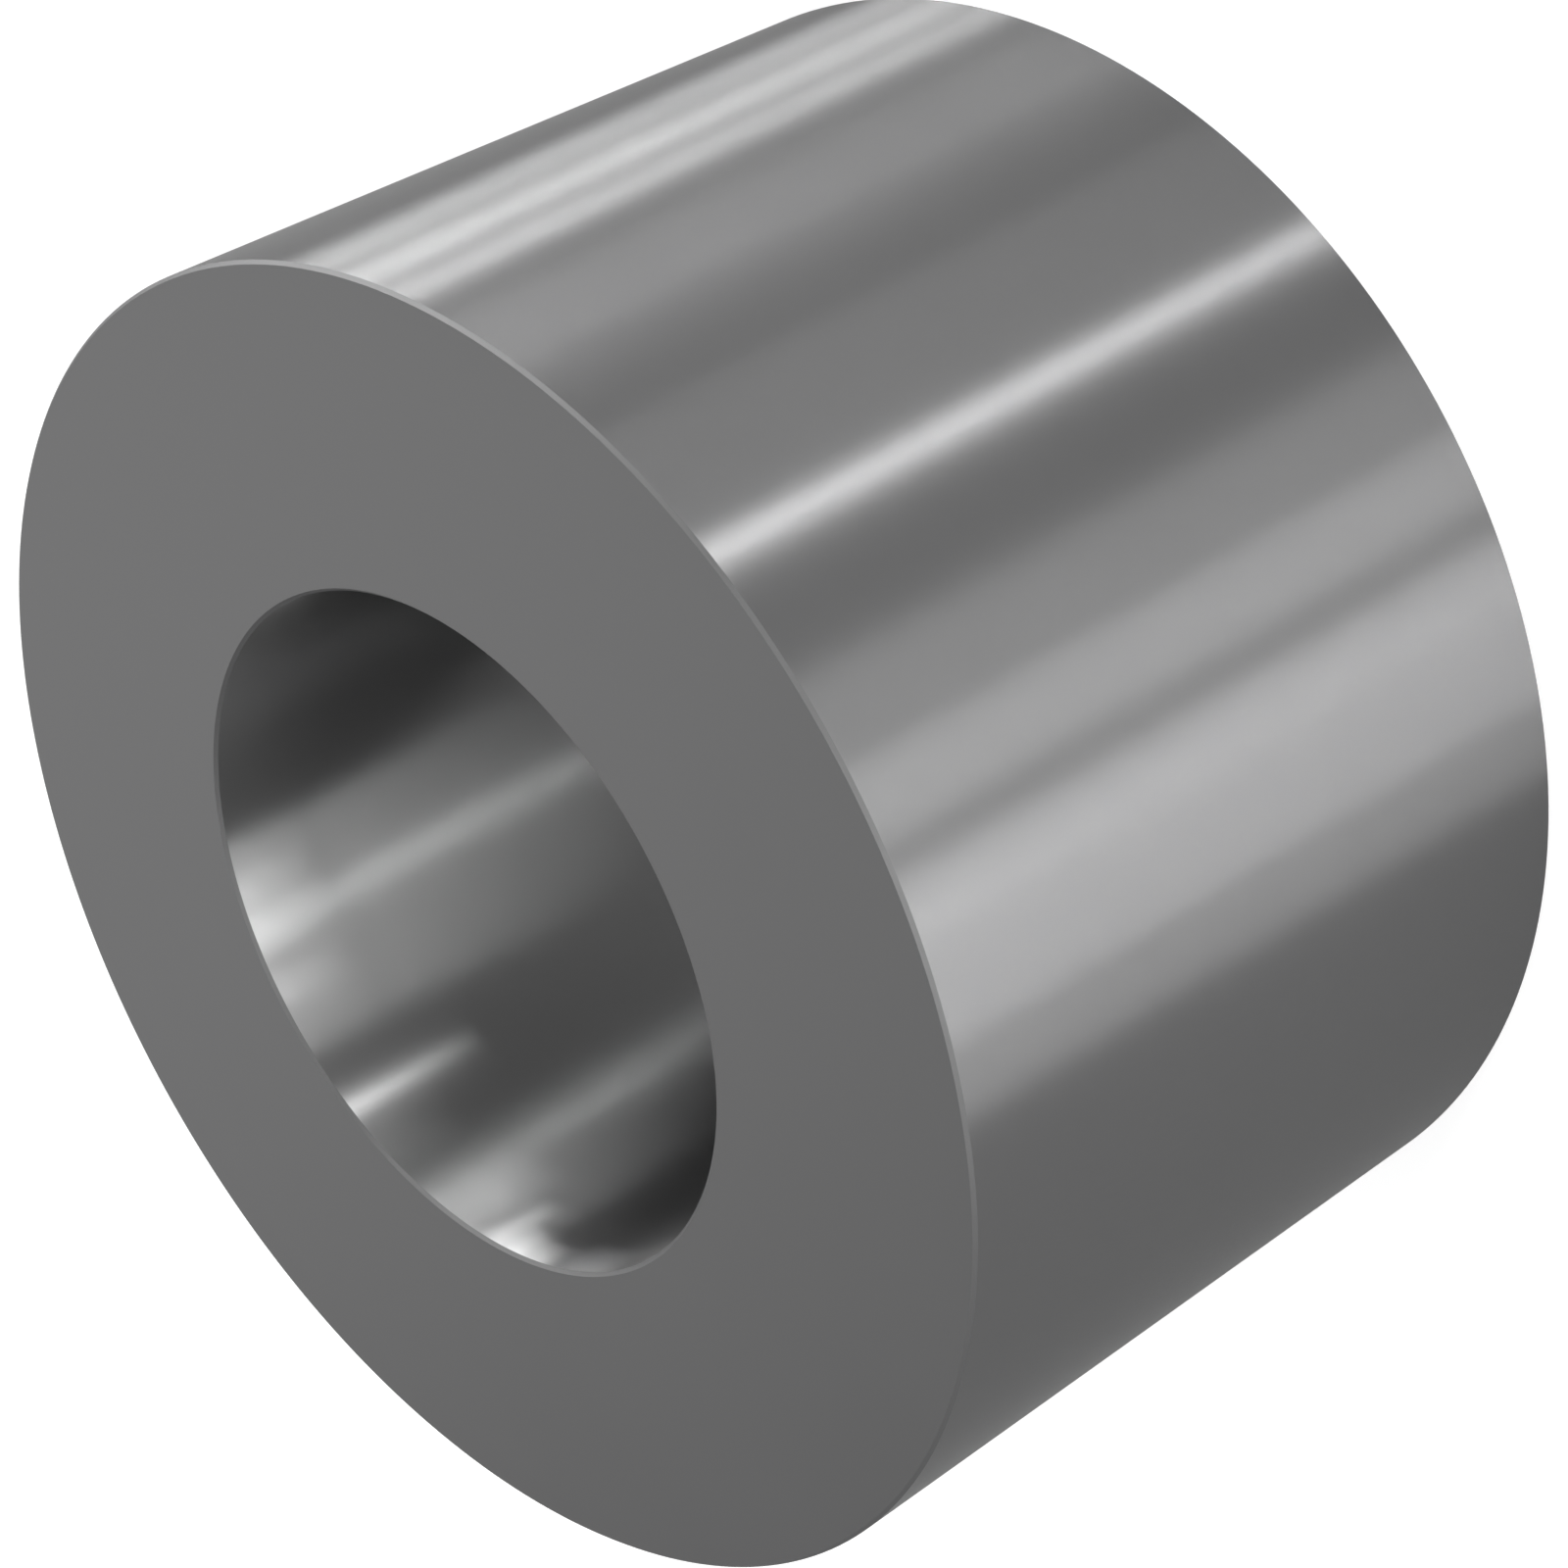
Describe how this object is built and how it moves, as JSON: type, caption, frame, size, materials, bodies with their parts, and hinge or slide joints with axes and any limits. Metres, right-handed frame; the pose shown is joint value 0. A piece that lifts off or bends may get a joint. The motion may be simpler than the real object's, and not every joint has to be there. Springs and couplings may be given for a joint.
{
  "type": "bushing",
  "caption": "Plain thick-walled steel bushing: a short straight cylinder with a smooth through bore and flat end faces.",
  "frame": {"origin": "centre of the lower end face, on the bore axis", "axes": "+Z along the bore axis, from the lower end face to the upper one; X and Y across, with no mark to tell them apart"},
  "size_m": [0.02, 0.02, 0.012],
  "materials": {
    "bushing": "fine-turned walls, satin end faces"
  },
  "bodies": {
    "root": {"bushing": "bushing"}
  },
  "joints": []
}
